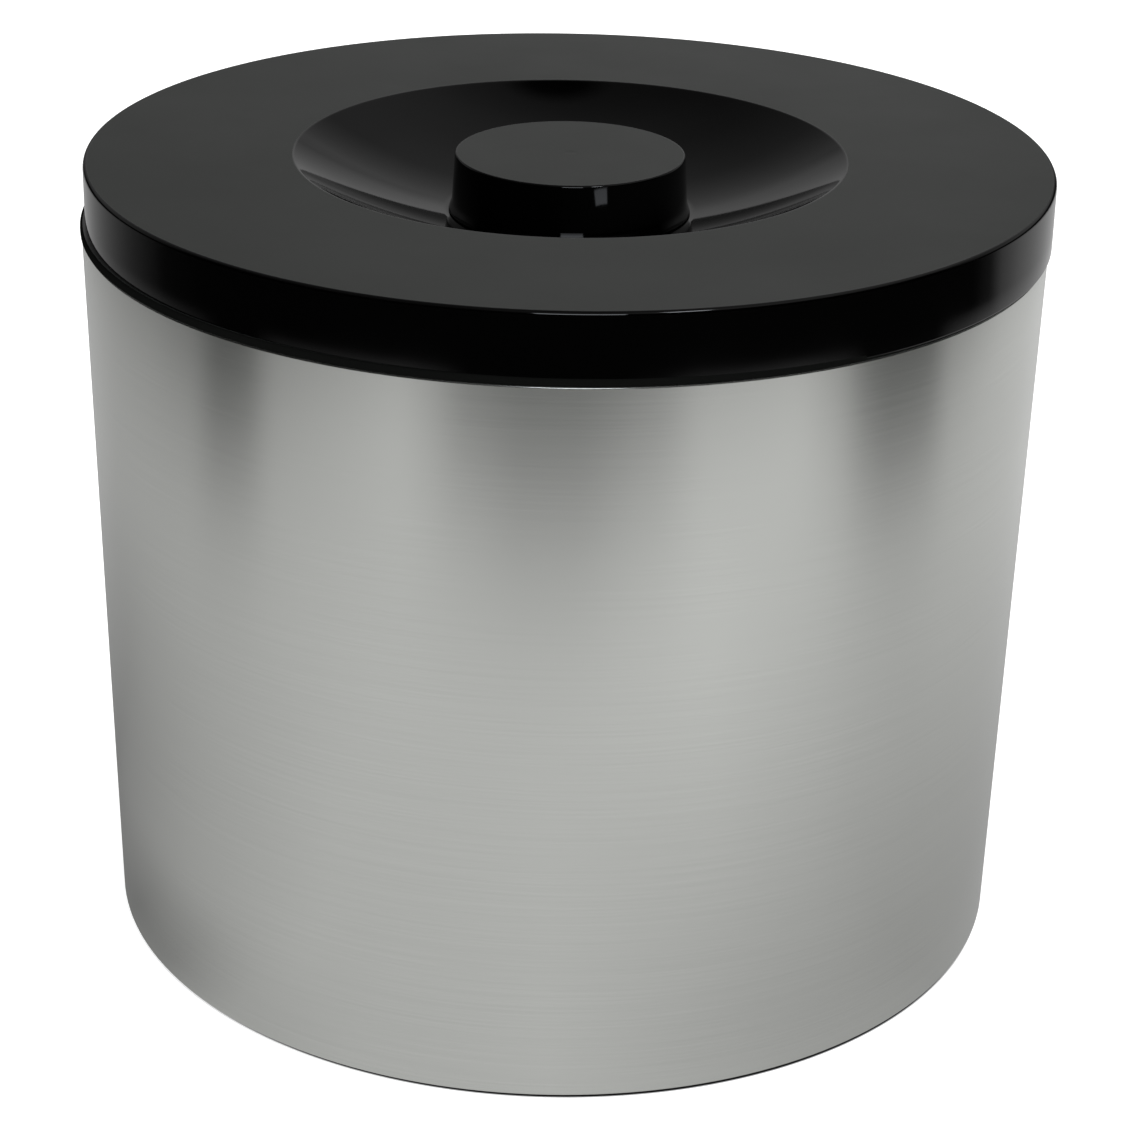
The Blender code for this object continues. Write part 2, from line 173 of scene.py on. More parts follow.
OVERHEAD = (0.04, 0.25, 0.97)                    # the middle of the ceiling's dark patch
OVERHEAD_SHADE = ((0.0, 0.0), (0.08, 0.02), (0.15, 0.48), (0.30, 0.62), (0.50, 0.80), (0.80, 1.0))
# The soft light itself, which comes mostly from the front right.
FRONT_LIGHT = (1.95, 0.75, -1.0, 1.0)            # over back
SIDE_LIGHT = (0.75, 1.25, -1.0, 1.0)             # over across


def node(tree, kind, inputs=None, **settings):
    """A shader node with its settings, and with its inputs linked or set."""
    made = tree.nodes.new(f"ShaderNode{kind}")
    for name, value in settings.items():
        setattr(made, name, value)
    for name, value in (inputs or {}).items():
        fill(tree, made.inputs[name], value)
    return made


def new_material(name, **constants):
    """A material, its node tree and its Principled shader, with sockets that stay constant set by name."""
    material = bpy.data.materials.new(name)
    material.use_nodes = True
    tree = material.node_tree
    shader = tree.nodes["Principled BSDF"]
    for socket, value in constants.items():
        shader.inputs[socket.replace("_", " ")].default_value = value
    return material, tree, shader


def object_place(tree, scale=(1.0, 1.0, 1.0)):
    """Object coordinates, stretched by scale."""
    place = node(tree, "TexCoord").outputs["Object"]
    return node(tree, "Mapping", {"Vector": place, "Scale": scale}).outputs["Vector"]


def noise(tree, place, scale, detail=3.0, roughness=0.55):
    inputs = {"Vector": place, "Scale": scale, "Detail": detail, "Roughness": roughness}
    return node(tree, "TexNoise", inputs).outputs["Fac"]


def spread(tree, value, low, high, from_low=0.3, from_high=0.7):
    """A value mapped to the range from low to high. The usual from_low and from_high suit a noise."""
    inputs = {
        "Value": value, "From Min": from_low, "From Max": from_high, "To Min": low, "To Max": high,
    }
    return node(tree, "MapRange", inputs).outputs["Result"]


def fill(tree, socket, value):
    """Links another node's socket to this one, or sets it."""
    if isinstance(value, bpy.types.NodeSocket):
        tree.links.new(value, socket)
    else:
        socket.default_value = value


def colours(tree, factor, first, second):
    """A mix of two colours, each of them set or linked."""
    mix = node(tree, "Mix", {"Factor": factor}, data_type="RGBA")
    for index, colour in zip(MIX_COLOURS, (first, second)):
        fill(tree, mix.inputs[index], colour)
    return mix.outputs[MIX_RESULT]


def grey(level):
    return (level, level, level, 1.0)


def calculate(tree, operation, first, second):
    """The result of a Math node."""
    made = node(tree, "Math", operation=operation)
    fill(tree, made.inputs[0], first)
    fill(tree, made.inputs[1], second)
    return made.outputs["Value"]


def add(tree, first, second):
    return calculate(tree, "ADD", first, second)


def times(tree, first, second):
    return calculate(tree, "MULTIPLY", first, second)


def blend(tree, first, second, share):
    """Two values mixed, with the given share of the second."""
    return add(tree, times(tree, first, 1.0 - share), times(tree, second, share))


def distance_to(tree, place, centre):
    return node(tree, "VectorMath", {0: place, 1: centre}, operation="DISTANCE").outputs["Value"]


def either_shader(tree, factor, first, second):
    mix = node(tree, "MixShader", {"Fac": factor, 1: first, 2: second})
    return mix.outputs["Shader"]


def bump(tree, shader, height, strength, depth):
    inputs = {"Height": height, "Strength": strength, "Distance": depth}
    made = node(tree, "Bump", inputs)
    tree.links.new(made.outputs["Normal"], shader.inputs["Normal"])


def brushed_aluminium():
    """Satin aluminium brushed finely round the drum: its highlights smear up and down."""
    material, tree, shader = new_material(
        "brushed_aluminium", Metallic=1.0, Anisotropic=0.60, Anisotropic_Rotation=0.25,
    )
    fine = noise(tree, object_place(tree, (18.0, 18.0, 3200.0)), 1.0)
    middling = noise(tree, object_place(tree, (14.0, 14.0, 1600.0)), 1.0)
    broad = noise(tree, object_place(tree, (4.0, 4.0, 420.0)), 1.0)
    cloud = noise(tree, object_place(tree), 12.0, 4.0)
    streaks = blend(tree, blend(tree, fine, middling, 0.4), broad, 0.10)
    factor = spread(tree, blend(tree, streaks, cloud, 0.25), 0.0, 1.0, 0.40, 0.60)
    base = colours(tree, factor, (0.637, 0.647, 0.620, 1.0), (0.669, 0.679, 0.651, 1.0))
    tree.links.new(base, shader.inputs["Base Color"])
    tree.links.new(spread(tree, streaks, 0.215, 0.240), shader.inputs["Roughness"])
    tangent = node(tree, "Tangent", direction_type="RADIAL", axis="Z")
    tree.links.new(tangent.outputs["Tangent"], shader.inputs["Tangent"])
    bump(tree, shader, fine, 0.026, 0.02 * MM)
    return material


def moulded_plastic(name, dark, light, roughness, tone, grain, strength, depth, **constants):
    """Plastic whose colour and roughness drift with the tone, over a finer grain.

    The tone and the grain are each a noise's scale and detail.
    """
    material, tree, shader = new_material(name, IOR=PLASTIC_IOR, **constants)
    drift = noise(tree, object_place(tree), *tone)
    tree.links.new(colours(tree, drift, (*dark, 1.0), (*light, 1.0)), shader.inputs["Base Color"])
    tree.links.new(spread(tree, drift, *roughness), shader.inputs["Roughness"])
    bump(tree, shader, noise(tree, object_place(tree), *grain), strength, depth)
    return material


def polished_plastic():
    """Black with a mirror polish, very slightly uneven as moulded faces are."""
    return moulded_plastic(
        "polished_black_plastic", dark=(0.0001, 0.0001, 0.0001), light=(0.0002, 0.0002, 0.0002),
        roughness=(0.035, 0.06), tone=(22.0, 4.0), grain=(35.0, 1.0), strength=0.06, depth=0.08 * MM,
    )


def satin_plastic():
    """The same plastic where the mould is finely textured, as on the lid's flat tops."""
    return moulded_plastic(
        "satin_black_plastic", dark=(0.0095, 0.0108, 0.0095), light=(0.0140, 0.0155, 0.0136),
        roughness=(0.36, 0.42), tone=(14.0, 4.0), grain=(2200.0, 2.0), strength=0.35, depth=0.03 * MM,
    )


def tub_plastic():
    return moulded_plastic(
        "tub_plastic", dark=(0.008, 0.009, 0.0085), light=(0.013, 0.014, 0.0135),
        roughness=(0.20, 0.30), tone=(18.0, 4.0), grain=(1500.0, 2.0), strength=0.15, depth=0.02 * MM,
    )


def shaded_rim_plastic():
    """The tub's plastic on its rim, darker as painted shade under the lid, without any gloss, which would
    turn it grey at a glancing angle.
    """
    return moulded_plastic(
        "shaded_rim_plastic", dark=(0.0022, 0.0023, 0.0022), light=(0.0034, 0.0036, 0.0034),
        roughness=(0.42, 0.50), tone=(1500.0, 2.0), grain=(1500.0, 2.0), strength=0.2, depth=0.02 * MM,
        Specular_IOR_Level=0.0,
    )


def base_plastic():
    return moulded_plastic(
        "base_plastic", dark=(0.014, 0.0145, 0.014), light=(0.026, 0.0265, 0.026),
        roughness=(0.45, 0.60), tone=(1100.0, 3.0), grain=(1100.0, 3.0), strength=0.5, depth=0.06 * MM,
    )


def drainer_plastic():
    return moulded_plastic(
        "drainer_plastic", dark=(0.038, 0.039, 0.040), light=(0.052, 0.053, 0.054),
        roughness=(0.32, 0.42), tone=(16.0, 4.0), grain=(1300.0, 2.0), strength=0.3, depth=0.03 * MM,
    )


def beaded_foam():
    """White foam of pressed beads about 3 mm across."""
    material, tree, shader = new_material("beaded_foam", Roughness=0.9)
    bead = node(
        tree, "TexVoronoi", {"Vector": object_place(tree), "Scale": 330.0}, feature="DISTANCE_TO_EDGE",
    )
    seam = spread(tree, bead.outputs["Distance"], 0.0, 1.0, 0.0, 0.12)
    base = colours(tree, seam, (0.62, 0.62, 0.60, 1.0), (0.86, 0.86, 0.83, 1.0))
    tree.links.new(base, shader.inputs["Base Color"])
    bump(tree, shader, seam, 0.6, 0.3 * MM)
    return material


def zinc_steel():
    material, tree, shader = new_material("zinc_steel", Metallic=1.0)
    cloud = noise(tree, object_place(tree), 900.0, 4.0)
    base = colours(tree, cloud, (0.50, 0.51, 0.53, 1.0), (0.64, 0.64, 0.62, 1.0))
    tree.links.new(base, shader.inputs["Base Color"])
    tree.links.new(spread(tree, cloud, 0.26, 0.42), shader.inputs["Roughness"])
    bump(tree, shader, cloud, 0.2, 0.02 * MM)
    return material


def rounded(corners, closed=False):
    """Profile points through corners (r, z) or (r, z, radius), with each corner rounded to its radius."""
    points = []
    count = len(corners)
    for index, (r, z, *rest) in enumerate(corners):
        radius = rest[0] if rest else 0.0
        inside = closed or 0 < index < count - 1
        if not inside or radius == 0.0:
            points.append((r, z))
            continue
        corner = Vector((r, z))
        before = (Vector(corners[index - 1][:2]) - corner).normalized()
        after = (Vector(corners[(index + 1) % count][:2]) - corner).normalized()
        half = before.angle(after) / 2
        centre = corner + (before + after).normalized() * radius / math.sin(half)
        start = corner + before * radius / math.tan(half) - centre
        sweep = start.angle_signed(corner + after * radius / math.tan(half) - centre)
        steps = max(2, round(abs(sweep) / ARC_STEP))
        for step in range(steps + 1):
            angle = -sweep * step / steps
            turn = (
                start.x * math.cos(angle) - start.y * math.sin(angle),
                start.x * math.sin(angle) + start.y * math.cos(angle),
            )
            points.append((centre.x + turn[0], centre.y + turn[1]))
    return points


def finish_mesh(piece, sharp_angle=35):
    """Smooth shading with sharp edges kept, and normals that leave flat faces flat."""
    piece.data.shade_smooth()
    piece.data.set_sharp_from_angle(angle=math.radians(sharp_angle))
    weighted = piece.modifiers.new("weighted_normals", "WEIGHTED_NORMAL")
    weighted.keep_sharp = True
    weighted.weight = 100


def new_piece(name, mesh, materials, place=(0.0, 0.0, 0.0)):
    """An object in the scene with this mesh and these materials."""
    piece = bpy.data.objects.new(name, mesh)
    piece.location = place
    bpy.context.scene.collection.objects.link(piece)
    for material in materials:
        mesh.materials.append(material)
    return piece


def turned_mesh(name, profile, closed=False, steps=ROUND):
    """A mesh made by turning a profile about Z. It is closed if the profile is, or ends on the axis."""
    made = bmesh.new()
    verts = [made.verts.new((r, 0.0, z)) for r, z in profile]
    following = verts[1:] + (verts[:1] if closed else [])
    edges = [made.edges.new(pair) for pair in zip(verts, following)]
    bmesh.ops.spin(
        made, geom=verts + edges, cent=(0, 0, 0), axis=(0, 0, 1), angle=2 * math.pi, steps=steps,
        use_merge=True,
    )
    bmesh.ops.remove_doubles(made, verts=made.verts, dist=WELD)
    bmesh.ops.recalc_face_normals(made, faces=made.faces)
    mesh = bpy.data.meshes.new(name)
    made.to_mesh(mesh)
    made.free()
    return mesh


def cylinder_tool(radius, bottom, top, centre=(0.0, 0.0), sides=HOLE_ROUND):
    bpy.ops.mesh.primitive_cylinder_add(
        vertices=sides, radius=radius, depth=top - bottom,
        location=(centre[0], centre[1], (top + bottom) / 2),
    )
    return bpy.context.object


def boolean(piece, tool, operation):
    """Cuts the tool out of the piece or joins it on at once, and removes it."""
    modifier = piece.modifiers.new("boolean", "BOOLEAN")
    modifier.object = tool
    modifier.operation = operation
    modifier.solver = "EXACT"
    bpy.context.view_layer.update()
    evaluated = piece.evaluated_get(bpy.context.evaluated_depsgraph_get())
    result = bpy.data.meshes.new_from_object(evaluated)
    piece.modifiers.remove(modifier)
    old = piece.data
    piece.data = result
    result.name = old.name
    bpy.data.meshes.remove(old)
    bpy.data.objects.remove(tool)


def on_circle(radius, count, index, turn=0.0):
    angle = 2 * math.pi * (index + turn) / count
    return radius * math.cos(angle), radius * math.sin(angle)


def centre_of(name):
    low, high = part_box(name)
    return (low + high) / 2


def stand_for(piece, body, part):
    """The piece rides on the body, and is shown instead of the part."""
    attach(piece, body)
    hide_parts(part)


def paint(mesh, index, test):
    """Gives material number index to the faces whose radius, height and normal pass the test."""
    for face in mesh.polygons:
        radius = math.hypot(face.center.x, face.center.y)
        if test(radius, face.center.z, face.normal):
            face.material_index = index


def make_casing(aluminium):
    low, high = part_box("outer_casing")
    top, bottom = high.z, low.z
    top_radius = high.x
    foot_radius = CASING_FOOT_RADIUS + (top_radius - CASING_FOOT_RADIUS) * bottom / top
    lip_radius = foot_radius - CASING_LIP
    profile = rounded([
        (top_radius, top, 0.5 * MM),
        (foot_radius, bottom, 1.0 * MM),
        (lip_radius, bottom, 0.3 * MM),
        (lip_radius, bottom + CASING_WALL, 0.3 * MM),
        (foot_radius - CASING_WALL, bottom + CASING_WALL, 0.4 * MM),
        (top_radius - CASING_WALL, top, 0.2 * MM),
    ], closed=True)
    casing = new_piece("casing_drum", turned_mesh("casing_drum", profile, closed=True), [aluminium])
    finish_mesh(casing)
    stand_for(casing, "bucket", "outer_casing")


def make_liner(plastic, matte):
    low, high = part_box("inner_liner")
    rim_radius, rim_top = high.x, high.z
    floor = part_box("base_insulation")[1].z + LINER_CLEARANCE + LINER_WALL
    underside = floor - LINER_WALL
    flange_bottom = rim_top - RIM_THICKNESS
    lean = (MOUTH_RADIUS - LINER_FOOT_RADIUS) / (rim_top - floor - LINER_CORNER)
    foot = LINER_FOOT_RADIUS - lean * LINER_CORNER
    flange_root = MOUTH_RADIUS - lean * RIM_THICKNESS + LINER_WALL
    profile = rounded([
        (0.0, floor),
        (foot, floor, LINER_CORNER),
        (MOUTH_RADIUS, rim_top, 1.0 * MM),
        (rim_radius, rim_top, 0.8 * MM),
        (rim_radius, flange_bottom, 0.3 * MM),
        (flange_root, flange_bottom, 0.6 * MM),
        (foot + LINER_WALL, underside, LINER_CORNER + LINER_WALL),
        (0.0, underside),
    ])
    liner = new_piece("liner_tub", turned_mesh("liner_tub", profile), [plastic, matte])
    for index in range(SCREW_COUNT):
        centre = on_circle(BOSS_CIRCLE, SCREW_COUNT, index, 0.5)
        boolean(liner, cylinder_tool(BOSS_RADIUS, low.z, underside + MM, centre), "UNION")
        boolean(liner, cylinder_tool(SCREW_BORE, low.z - MM, underside - MM, centre), "DIFFERENCE")
    # The rim's faces take the matte plastic, whose darker colour is painted shade.
    paint(liner.data, 1, lambda r, z, normal: r > rim_radius - RIM_WIDTH and z > flange_bottom - MM)
    finish_mesh(liner)
    stand_for(liner, "bucket", "inner_liner")


def make_base(plastic):
    low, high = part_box("base_plate")
    edge_radius, top = high.x, high.z
    shoulder = 2 * CASING_WALL + GAP
    profile = rounded([
        (0.0, top),
        (edge_radius, top, 0.4 * MM),
        (edge_radius, shoulder, 0.3 * MM),
        (FOOT_RING_OUTER, shoulder, 0.3 * MM),
        (FOOT_RING_OUTER, 0.0, 0.5 * MM),
        (FOOT_RING_INNER, 0.0, 0.8 * MM),
        (FOOT_RING_INNER, PLATE_UNDERSIDE, 0.8 * MM),
        (0.0, PLATE_UNDERSIDE),
    ])
    base = new_piece("base_cover", turned_mesh("base_cover", profile), [plastic])
    for index in range(SCREW_COUNT):
        centre = on_circle(BOSS_CIRCLE, SCREW_COUNT, index, 0.5)
        boolean(base, cylinder_tool(SCREW_CLEARANCE_HOLE, 0.0, top + MM, centre), "DIFFERENCE")
    finish_mesh(base)
    stand_for(base, "bucket", "base_plate")


def screw_mesh(name, part, head_height):
    """A pan-head screw with a cross recess, head down, centred on its own axis."""
    low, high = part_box(part)
    radius = (high.x - low.x) / 2
    head_top = low.z + head_height
    profile = rounded([
        (0.0, high.z),
        (SCREW_SHANK / 2, high.z),
        (SCREW_SHANK, high.z - SCREW_SHANK, 0.3 * MM),
        (SCREW_SHANK, head_top, 0.15 * MM),
        (radius, head_top, 0.15 * MM),
        (radius, low.z + 0.7 * MM, 0.8 * MM),
        (radius * 0.75, low.z, 1.2 * MM),
        (0.0, low.z),
    ])
    holder = new_piece(name, turned_mesh(name, profile, steps=SMALL_ROUND), [])
    for angle in (0.0, math.pi / 2):
        bpy.ops.mesh.primitive_cube_add(size=1.0, location=(0, 0, low.z), rotation=(0, 0, angle))
        blade = bpy.context.object
        blade.scale = CROSS_RECESS
        boolean(holder, blade, "DIFFERENCE")
    mesh = holder.data
    bpy.data.objects.remove(holder)
    return mesh


def make_screws(steel):
    mesh = screw_mesh("base_screw", "base_screw_1", BASE_SCREW_HEAD)
    mesh.materials.append(steel)
    for index in range(SCREW_COUNT):
        part = f"base_screw_{index + 1}"
        middle = centre_of(part)
        screw = new_piece(f"base_screw_fine_{index + 1}", mesh, [], (middle.x, middle.y, 0.0))
        screw.rotation_euler.z = math.radians(FIRST_SCREW_TURN + NEXT_SCREW_TURN * index)
        finish_mesh(screw)
        stand_for(screw, "bucket", part)
    middle = centre_of("knob_screw")
    mesh = screw_mesh("knob_screw_fine", "knob_screw", KNOB_SCREW_HEAD)
    screw = new_piece("knob_screw_fine", mesh, [steel], (middle.x, middle.y, 0.0))
    finish_mesh(screw)
    stand_for(screw, "lid", "knob_screw")


def dish_points(top, offset, inner_radius, steps):
    """The dish from its rim to inner_radius, moved down by offset along its normal."""
    radius = DISH_ARC + offset
    centre_r = DISH_RADIUS - DISH_ARC * math.sin(DISH_RIM_SLOPE)
    centre_z = top + DISH_ARC * math.cos(DISH_RIM_SLOPE)
    end = math.asin((inner_radius - centre_r) / radius)
    points = []
    for step in range(steps + 1):
        slope = DISH_RIM_SLOPE + (end - DISH_RIM_SLOPE) * step / steps
        points.append((centre_r + radius * math.sin(slope), centre_z - radius * math.cos(slope)))
    return points


def make_lid_top(polished, satin):
    low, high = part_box("lid_shell")
    middle = centre_of("lid_shell")
    radius = (high.x - low.x) / 2
    top, bottom = high.z, low.z
    knob_low, knob_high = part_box("lid_knob")
    seat_radius = (knob_high.x - knob_low.x) / 2
    outer = dish_points(top, 0.0, seat_radius, DISH_STEPS)
    inner = dish_points(top, SHELL_WALL, seat_radius, DISH_STEPS // 2)
    seat = outer[-1][1]
    profile = rounded([
        (SCREW_CLEARANCE_HOLE, seat),
        *reversed(outer[1:]),
        (*outer[0], 1.6 * MM),
        (radius, top, 1.2 * MM),
        (radius, bottom, 0.4 * MM),
        (radius - SHELL_WALL, bottom, 0.4 * MM),
        (radius - SHELL_WALL, top - SHELL_WALL, 1.0 * MM),
        (DISH_RADIUS, top - SHELL_WALL, 1.0 * MM),
        *inner[1:],
        (SCREW_CLEARANCE_HOLE, inner[-1][1]),
    ], closed=True)
    mesh = turned_mesh("lid_top", profile, closed=True)
    lid = new_piece("lid_top", mesh, [polished, satin], (middle.x, middle.y, 0.0))
    paint(mesh, 1, lambda r, z, normal: normal.z > 0.999 and z > top - 0.1 * MM)
    finish_mesh(lid)
    stand_for(lid, "lid", "lid_shell")


def make_knob(polished, satin):
    low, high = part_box("lid_knob")
    middle = centre_of("lid_knob")
    foot_radius = (high.x - low.x) / 2
    top, bottom = high.z, low.z
    ceiling = top - KNOB_WALL
    boss = SCREW_BORE + KNOB_WALL
    profile = rounded([
        (0.0, top - GATE_MARK_DEPTH),
        (GATE_MARK_RADIUS / 2, top - GATE_MARK_DEPTH, 0.3 * MM),
        (GATE_MARK_RADIUS, top, 0.3 * MM),
        (KNOB_TOP_RADIUS, top, 0.7 * MM),
        (KNOB_WAIST_RADIUS, bottom + KNOB_FLARE, 5.0 * MM),
        (foot_radius, bottom, 0.2 * MM),
        (KNOB_WAIST_RADIUS - KNOB_WALL, bottom, 0.3 * MM),
        (KNOB_TOP_RADIUS - KNOB_WALL, ceiling, 1.0 * MM),
        (boss, ceiling, 0.6 * MM),
        (boss, bottom, 0.2 * MM),
        (SCREW_BORE, bottom, 0.2 * MM),
        (SCREW_BORE, ceiling - MM),
        (0.0, ceiling - MM),
    ])
    mesh = turned_mesh("knob", profile)
    knob = new_piece("knob", mesh, [polished, satin], (middle.x, middle.y, 0.0))
    paint(mesh, 1, lambda r, z, normal: normal.z > 0.5 and z > top - MM and r < KNOB_TOP_RADIUS - 0.65 * MM)
    finish_mesh(knob)
    stand_for(knob, "lid", "lid_knob")


def make_tray(plastic):
    low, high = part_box("lid_inner_cover")
    middle = centre_of("lid_inner_cover")
    flange_radius = (high.x - low.x) / 2
    bottom, top = low.z, high.z
    profile = rounded([
        (0.0, bottom + TRAY_WALL),
        (TRAY_RADIUS - TRAY_WALL, bottom + TRAY_WALL, 1.4 * MM),
        (TRAY_RADIUS - TRAY_WALL, top, 1.0 * MM),
        (flange_radius, top, 0.3 * MM),
        (flange_radius, top - TRAY_WALL, 0.3 * MM),
        (TRAY_RADIUS, top - TRAY_WALL, 0.5 * MM),
        (TRAY_RADIUS, bottom, 3.0 * MM),
        (0.0, bottom),
    ])
    tray = new_piece("lid_tray", turned_mesh("lid_tray", profile), [plastic], (middle.x, middle.y, 0.0))
    finish_mesh(tray)
    stand_for(tray, "lid", "lid_inner_cover")


def make_drainer(plastic):
    low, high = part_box("drainer")
    radius, lip_top = high.x, high.z
    edge = 0.5 * MM
    curve = bpy.data.curves.new("drainer_outline", "CURVE")
    curve.dimensions = "2D"
    curve.fill_mode = "BOTH"
    curve.extrude = DRAINER_THICKNESS / 2 - edge
    curve.bevel_depth = edge
    curve.offset = -edge
    curve.bevel_resolution = 3
    holes = [(0.0, 0.0, radius - DRAINER_THICKNESS / 2, ROUND), (0.0, 0.0, FINGER_HOLE, SMALL_ROUND)]
    for ring, (ring_radius, count) in enumerate(DRAIN_RINGS):
        for index in range(count):
            centre = on_circle(ring_radius, count, index, (ring + 0.5) / len(DRAIN_RINGS))
            holes.append((*centre, DRAIN_HOLE, HOLE_ROUND))
    for x, y, hole_radius, sides in holes:
        spline = curve.splines.new("POLY")
        spline.points.add(sides - 1)
        for index, point in enumerate(spline.points):
            px, py = on_circle(hole_radius, sides, index)
            point.co = (x + px, y + py, 0.0, 1.0)
        spline.use_cyclic_u = True
    outline = bpy.data.objects.new("drainer_outline", curve)
    bpy.context.scene.collection.objects.link(outline)
    bpy.context.view_layer.update()
    mesh = bpy.data.meshes.new_from_object(outline.evaluated_get(bpy.context.evaluated_depsgraph_get()))
    bpy.data.objects.remove(outline)
    welded = bmesh.new()
    welded.from_mesh(mesh)
    bmesh.ops.remove_doubles(welded, verts=welded.verts, dist=WELD)
    bmesh.ops.translate(welded, verts=welded.verts, vec=(0, 0, DRAINER_FLOOR + DRAINER_THICKNESS / 2))
    welded.to_mesh(mesh)
    welded.free()
    drainer = new_piece("drainer_grid", mesh, [])
    lip = rounded([
        (radius, lip_top, 0.9 * MM),
        (radius, DRAINER_FLOOR - MM, 0.5 * MM),
        (radius - DRAINER_THICKNESS, DRAINER_FLOOR - MM, 0.5 * MM),
        (radius - DRAINER_THICKNESS, lip_top, 0.9 * MM),
    ], closed=True)
    boolean(drainer, new_piece("lip", turned_mesh("lip", lip, closed=True), []), "UNION")
    for index in range(DRAINER_FEET):
        centre = on_circle(DRAINER_FOOT_CIRCLE, DRAINER_FEET, index, 0.5)
        foot = cylinder_tool(DRAINER_FOOT_RADIUS, low.z, DRAINER_FLOOR + MM, centre)
        boolean(drainer, foot, "UNION")
    drainer.data.materials.clear()
    drainer.data.materials.append(plastic)
    finish_mesh(drainer)
    stand_for(drainer, "drainer", "drainer")


def finish_hidden_parts(foam, steel):
    """The parts that stay as packed: they are inside, and only need their materials."""
    finishes = {
        "wall_insulation": foam, "base_insulation": foam, "lid_insulation": foam, "knob_washer": steel,
    }
    for name, material in finishes.items():
        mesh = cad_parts[name].data
        mesh.materials.clear()
        mesh.materials.append(material)


def contact_shade(tree, place, colour):
    """The colour, with a painted shadow: black in a ring under the drum's edge."""
    away = distance_to(tree, place, CONTACT_CENTRE)
    outside = spread(tree, away, 0.0, 1.0, CONTACT_START, CONTACT_END)
    inside = spread(tree, away, 1.0, 0.0, *CONTACT_INSIDE)
    return colours(tree, calculate(tree, "MAXIMUM", outside, inside), grey(0.0), colour)


def floor_material():
    """Pale, and clear from below, so that a view from there shows the bucket."""
    material, tree, shader = new_material("pale_floor", Roughness=0.9, Emission_Strength=FLOOR_GLOW)
    place = object_place(tree)
    tone = colours(tree, noise(tree, place, 3.0), grey(0.83), grey(0.86))
    # Painted shadow: the contact ring darkens the floor's colour and its glow.
    shaded = contact_shade(tree, place, tone)
    tree.links.new(shaded, shader.inputs["Base Color"])
    tree.links.new(shaded, shader.inputs["Emission Color"])
    from_below = node(tree, "NewGeometry").outputs["Backfacing"]
    clear = node(tree, "BsdfTransparent").outputs["BSDF"]
    surface = either_shader(tree, from_below, shader.outputs["BSDF"], clear)
    tree.links.new(surface, tree.nodes["Material Output"].inputs["Surface"])
    return material


def steps_ramp(tree, factor, stops):
    """A colour ramp of greys through stops of place and level."""
    ramp = node(tree, "ValToRGB", {"Fac": factor})
    elements = ramp.color_ramp.elements
    while len(elements) < len(stops):
        elements.new(0.5)
    for element, (place, level) in zip(elements, stops):
        element.position = place
        element.color = grey(level)
    return ramp.outputs["Color"]


def painted_reflection_sheet_material():
    """Painted reflection: the floor as the bucket mirrors it, a glow in rings whose brightness changes round
    the bucket.
    """
    material, tree, shader = new_material("painted_reflection_sheet", Roughness=1.0, Emission_Strength=1.0)
    shader.inputs["Base Color"].default_value = grey(0.0)
    place = node(tree, "TexCoord").outputs["Object"]
    axes = node(tree, "SeparateXYZ", {"Vector": place}).outputs
    angle = calculate(tree, "ARCTAN2", axes["X"], times(tree, axes["Y"], -1.0))
    turn = add(tree, calculate(tree, "DIVIDE", angle, 2 * math.pi), 0.5)
    radius = node(tree, "VectorMath", {0: place}, operation="LENGTH").outputs["Value"]
    tone = None
    for ring, change in zip(FLOOR_RINGS, (None, *RING_CHANGES)):
        around = steps_ramp(tree, turn, [(azimuth / 360 + 0.5, level) for azimuth, level in ring])
        tone = colours(tree, spread(tree, radius, 0.0, 1.0, *change), tone, around) if change else around
    # Painted shadow: the contact ring darkens the sheet's glow too.
    tree.links.new(contact_shade(tree, place, tone), shader.inputs["Emission Color"])
    return material


def staged_disc(name, inner_radius, outer_radius, height, material):
    """A flat round piece of the studio, which faces up."""
    mesh = turned_mesh(name, [(inner_radius, height), (outer_radius, height)])
    if mesh.polygons[0].normal.z < 0:
        mesh.flip_normals()
    disc = new_piece(name, mesh, [material])
    return disc


def make_floor():
    """The floor that the camera sees, and just above it a glowing sheet that only reflections see, with the
    floor's reflection painted on it.
    """
    floor = staged_disc("floor", FLOOR_HOLE, FLOOR_RADIUS, 0.0, floor_material())
    floor.visible_glossy = False
    sheet = staged_disc("painted_reflection_sheet", 0.0, SHEET_RADIUS, SHEET_LIFT, painted_reflection_sheet_material())
    sheet.visible_camera = False
    sheet.visible_diffuse = False
    sheet.visible_shadow = False
    sheet.visible_transmission = False


def softbox(name, azimuth, elevation, distance, width, height, radiance, tint):
    """A rectangular light that faces the bucket. Azimuth 0 is the camera's side, and 90 is +X."""
    a, e = math.radians(azimuth), math.radians(elevation)
    direction = Vector((math.sin(a) * math.cos(e), -math.cos(a) * math.cos(e), math.sin(e)))
    light = bpy.data.lights.new(name, "AREA")
    light.shape = "RECTANGLE"
    light.size = width
    light.size_y = height
    light.energy = math.pi * width * height * radiance
    light.color = tint
    lamp = bpy.data.objects.new(name, light)
    lamp.location = LIGHT_AIM + direction * distance
    lamp.rotation_euler = direction.to_track_quat("Z", "Y").to_euler()
    bpy.context.scene.collection.objects.link(lamp)


def make_lights():
    """Two windows, as the polished plastic mirrors them."""
    softbox("window_middle", azimuth=3, elevation=33, distance=3.0, width=0.95, height=0.80,
            radiance=4.0, tint=BLUISH)
    softbox("window_right", azimuth=36, elevation=55, distance=3.0, width=0.42, height=0.30,
            radiance=14.0, tint=BLUISH)


def distance_across(tree, across, middle):
    return calculate(tree, "ABSOLUTE", calculate(tree, "SUBTRACT", across, middle), 0.0)


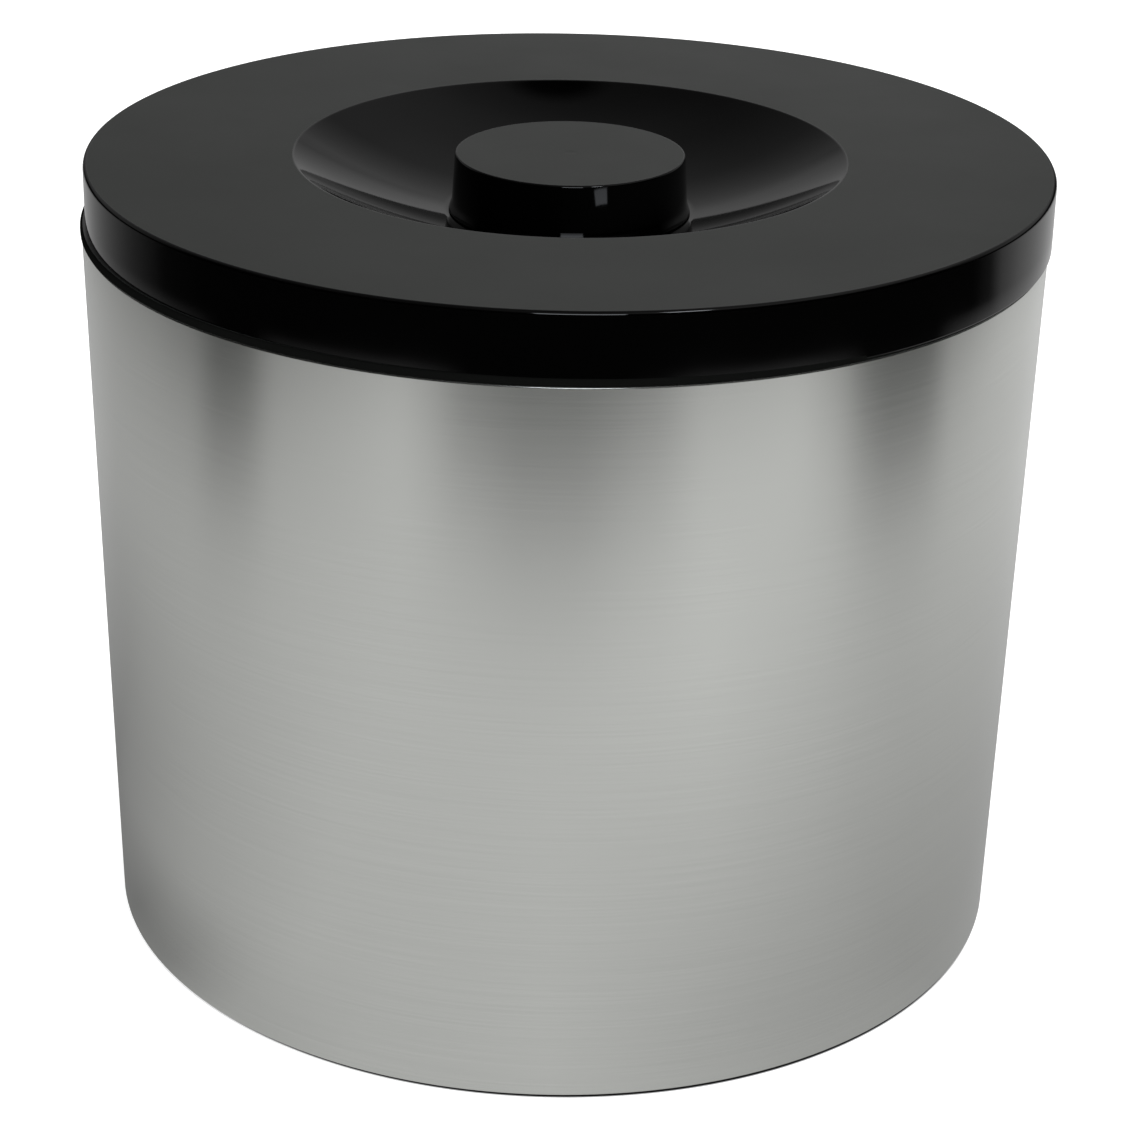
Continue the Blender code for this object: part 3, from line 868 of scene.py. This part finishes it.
def backdrop_light(tree, across, back, height):
    """A pale backdrop behind the bucket, which darkens upwards and to the left."""
    peak = spread(tree, distance_across(tree, across, PEAK_MIDDLE), *BACKDROP_PEAK)
    sides = spread(tree, distance_across(tree, across, LOW_BACKDROP_MIDDLE), *LOW_BACKDROP_SIDES)
    narrowed = calculate(tree, "MAXIMUM", sides, spread(tree, height, *LOW_BACKDROP_TOP))
    sideways = times(tree, times(tree, peak, narrowed), spread(tree, across, *BACKDROP_RIGHT))
    shown = times(tree, spread(tree, back, *BACKDROP_START), sideways)
    return times(tree, steps_ramp(tree, height, BACKDROP), shown)


def ceiling_light(tree, place, across, height):
    """A ceiling, brighter on the right, with a dark patch almost straight overhead."""
    level = times(tree, spread(tree, height, *CEILING_START), spread(tree, across, *CEILING_RIGHT))
    return times(tree, level, steps_ramp(tree, distance_to(tree, place, OVERHEAD), OVERHEAD_SHADE))


def make_world():
    """Soft light from all round, and for reflections a room with a backdrop and a ceiling."""
    world = bpy.data.worlds.new("studio")
    bpy.context.scene.world = world
    world.use_nodes = True
    tree = world.node_tree
    tree.nodes.clear()
    place = node(tree, "TexCoord").outputs["Generated"]
    direction = node(tree, "SeparateXYZ", {"Vector": place}).outputs
    across, back, height = (direction[axis] for axis in "XYZ")

    room = add(tree, backdrop_light(tree, across, back, height), ceiling_light(tree, place, across, height))
    above_floor = calculate(tree, "GREATER_THAN", height, 0.0)
    mirrored = node(tree, "Background", {"Color": grey(1.0), "Strength": times(tree, room, above_floor)})

    soft = times(tree, spread(tree, back, *FRONT_LIGHT), spread(tree, across, *SIDE_LIGHT))
    even = node(tree, "Background", {"Color": grey(1.0), "Strength": soft})

    is_mirrored = node(tree, "LightPath").outputs["Is Glossy Ray"]
    seen = either_shader(tree, is_mirrored, even.outputs[0], mirrored.outputs[0])
    tree.links.new(seen, node(tree, "OutputWorld").inputs["Surface"])


def make_camera():
    data = bpy.data.cameras.new("camera")
    data.lens = CAMERA_LENS
    data.sensor_width = SENSOR
    camera = bpy.data.objects.new("camera", data)
    camera.location = CAMERA_PLACE
    camera.rotation_euler = [math.radians(angle) for angle in CAMERA_TURN]
    bpy.context.scene.collection.objects.link(camera)
    bpy.context.scene.camera = camera
    bpy.context.scene.view_settings.view_transform = "Standard"


def main():
    aluminium = brushed_aluminium()
    polished = polished_plastic()
    satin = satin_plastic()
    tub = tub_plastic()
    foam = beaded_foam()
    steel = zinc_steel()

    make_casing(aluminium)
    make_liner(tub, shaded_rim_plastic())
    make_base(base_plastic())
    make_screws(steel)
    make_lid_top(polished, satin)
    make_knob(polished, satin)
    make_tray(tub)
    make_drainer(drainer_plastic())
    finish_hidden_parts(foam, steel)

    make_floor()
    make_world()
    make_lights()
    make_camera()


main()
